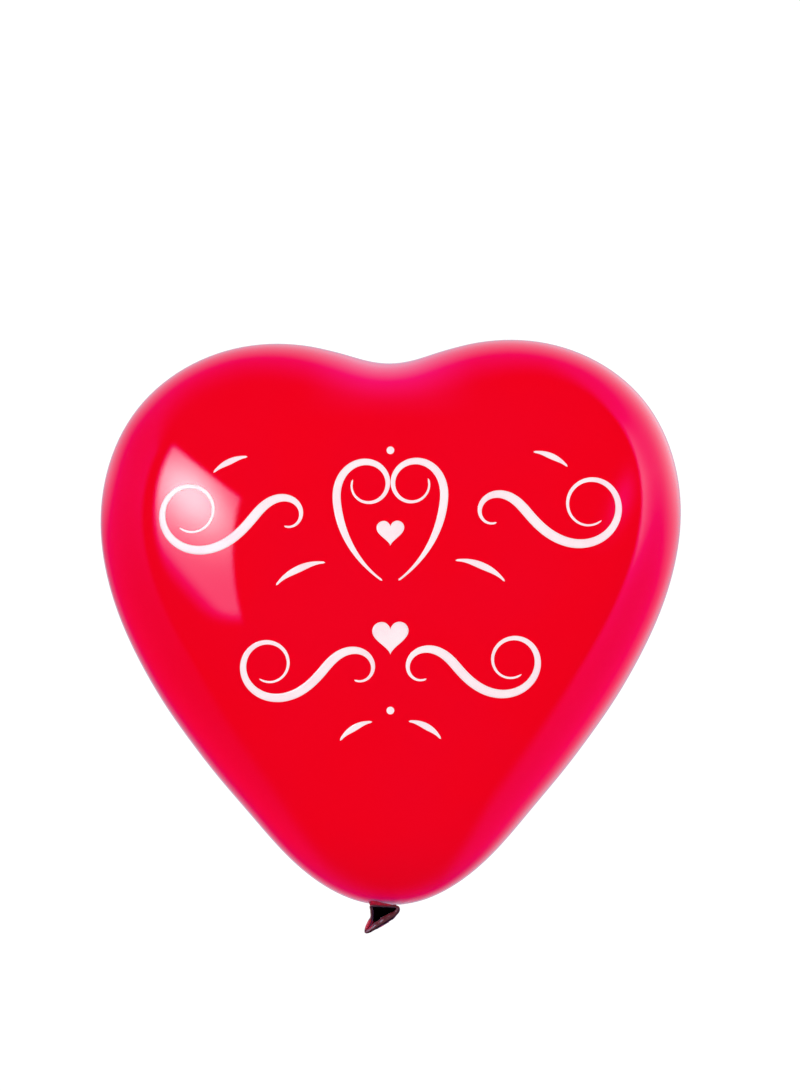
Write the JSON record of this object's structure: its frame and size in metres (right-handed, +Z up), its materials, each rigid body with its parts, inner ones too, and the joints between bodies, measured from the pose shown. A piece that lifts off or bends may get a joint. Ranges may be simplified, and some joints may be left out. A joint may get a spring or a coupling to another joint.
{
  "type": "heart-shaped party balloon",
  "caption": "Inflated heart-shaped rubber party balloon with a knotted neck, a free tail with a rolled lip, and a white scroll print.",
  "frame": {"origin": "centre of the throat, where the skin gathers into the neck above the knot", "axes": "+Z up along the neck into the heart, front with the print towards -Y, +X to the right seen from the front"},
  "size_m": [0.2804, 0.1724, 0.287],
  "materials": {
    "skin": "gloss",
    "neck": "satin",
    "lip": "satin",
    "ink": "satin"
  },
  "bodies": {
    "heart": {"balloon_skin": "skin", "neck_throat": "neck", "print_scroll_upper_left": "ink", "print_scroll_upper_right": "ink", "print_heart_frame_left": "ink", "print_heart_frame_right": "ink", "print_scroll_lower_left": "ink", "print_scroll_lower_right": "ink", "print_leaf_middle_left": "ink", "print_leaf_middle_right": "ink", "print_leaf_upper_left": "ink", "print_leaf_upper_right": "ink", "print_leaf_lower_left": "ink", "print_leaf_lower_right": "ink", "print_heart_upper": "ink", "print_heart_lower": "ink", "print_dot_upper": "ink", "print_dot_lower": "ink"},
    "knot": {"knot_wrap": "neck", "knot_core": "neck"},
    "tail": {"tail_funnel": "neck", "lip_bead": "lip"}
  },
  "joints": [
    {"name": "neck_twist", "type": "hinge", "parent": "heart", "child": "knot", "pos_m": [0, 0, 0], "axis": [0, 0, 1], "range_deg": [-90, 90], "stiffness_Nm_per_rad": 0.0001},
    {"name": "tail_swing", "type": "hinge", "parent": "knot", "child": "tail", "pos_m": [-0.0018, -0.0055, -0.0058], "axis": [1, 0, 0], "range_deg": [-4, 70], "stiffness_Nm_per_rad": 0.00005}
  ]
}
